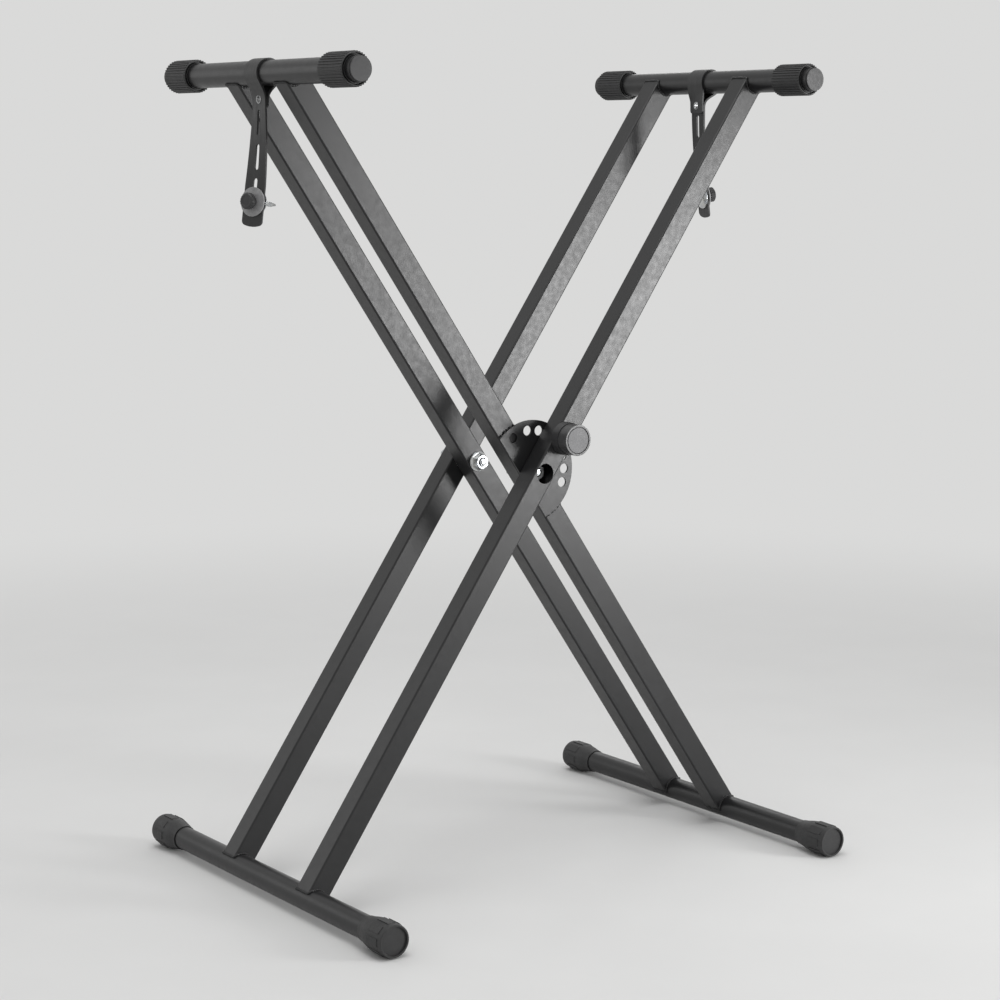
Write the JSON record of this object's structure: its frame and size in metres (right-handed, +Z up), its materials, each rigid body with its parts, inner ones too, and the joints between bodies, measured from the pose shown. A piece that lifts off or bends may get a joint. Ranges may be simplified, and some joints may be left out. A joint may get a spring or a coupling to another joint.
{
  "type": "double x keyboard stand",
  "caption": "Folding double x keyboard stand with paired square-tube legs, padded top bars with slotted rubber straps, a spring pull pin in a drilled lock plate, and rubber foot caps.",
  "frame": {"origin": "on the floor, under the fold pivots, midway between the front and back leg pairs", "axes": "+Z up, -Y towards the side with the pull knob, +X towards the bar that swings with the folding frame; the top bars and foot bars run along Y"},
  "size_m": [0.6181, 0.472, 0.8629],
  "materials": {
    "powder_coat": "satin black powder coat",
    "rubber": "matte black rubber",
    "plastic": "satin black moulding",
    "knob_plastic": "gloss black moulding",
    "knob_face": "dark grey inset disc",
    "zinc_steel": "bright zinc-plated steel"
  },
  "bodies": {
    "frame_a": {"a_leg_front": "powder_coat", "a_leg_back": "powder_coat", "top_bar_left": "powder_coat", "foot_bar_right": "powder_coat", "sleeve_left_near": "rubber", "sleeve_left_far": "rubber", "bar_plug_left_near": "plastic", "bar_plug_left_far": "plastic", "foot_cap_right_near": "rubber", "foot_cap_right_far": "rubber", "lock_disc": "powder_coat", "pivot_bolt_front": "zinc_steel", "pivot_washer_front": "zinc_steel", "pivot_nut_front": "zinc_steel", "pivot_bolt_back": "zinc_steel", "pivot_spacer_back": "zinc_steel", "pivot_nut_back": "zinc_steel"},
    "frame_b": {"b_leg_front": "powder_coat", "b_leg_back": "powder_coat", "top_bar_right": "powder_coat", "foot_bar_left": "powder_coat", "sleeve_right_near": "rubber", "sleeve_right_far": "rubber", "bar_plug_right_near": "plastic", "bar_plug_right_far": "plastic", "foot_cap_left_near": "rubber", "foot_cap_left_far": "rubber", "pin_housing": "plastic", "pin_ferrule": "zinc_steel", "pin_spring": "zinc_steel"},
    "pull_pin": {"lock_pin": "zinc_steel", "pull_knob": "knob_plastic", "knob_insert": "knob_face"},
    "strap_left": {"strap_left": "rubber", "strap_eyelet_left": "zinc_steel", "strap_washer_left": "plastic", "strap_backing_left": "zinc_steel", "strap_nut_left": "zinc_steel"},
    "strap_right": {"strap_right": "rubber", "strap_eyelet_right": "zinc_steel", "strap_washer_right": "plastic", "strap_backing_right": "zinc_steel", "strap_nut_right": "zinc_steel"},
    "thumb_left": {"thumb_bolt_left": "zinc_steel", "thumb_knob_left": "plastic"},
    "thumb_right": {"thumb_bolt_right": "zinc_steel", "thumb_knob_right": "plastic"}
  },
  "joints": [
    {"name": "fold", "type": "hinge", "parent": "frame_a", "child": "frame_b", "pos_m": [0, 0, 0.43268], "axis": [0, -1, 0], "range_deg": [-75.3, 65.2]},
    {"name": "pin_slide", "type": "slide", "parent": "frame_b", "child": "pull_pin", "axis": [0, 1, 0], "range_m": [-0.006, 0.0022], "stiffness_N_per_m": 1200, "springref_m": 0.0072, "deforming": ["pin_spring"]},
    {"name": "strap_swing_left", "type": "hinge", "parent": "frame_a", "child": "strap_left", "pos_m": [-0.28612, -0.002, 0.84589], "axis": [0, 1, 0], "range_deg": [-15, 60]},
    {"name": "strap_swing_right", "type": "hinge", "parent": "frame_b", "child": "strap_right", "pos_m": [0.28612, -0.002, 0.84589], "axis": [0, -1, 0], "range_deg": [-15, 60]},
    {"name": "thumb_turn_left", "type": "hinge", "parent": "strap_left", "child": "thumb_left", "pos_m": [-0.29816, -0.002, 0.71939], "axis": [-0.9225, -0.3689, 0.1137], "continuous": true},
    {"name": "thumb_turn_right", "type": "hinge", "parent": "strap_right", "child": "thumb_right", "pos_m": [0.28639, -0.002, 0.71939], "axis": [0.9578, -0.2528, 0.1369], "continuous": true}
  ]
}
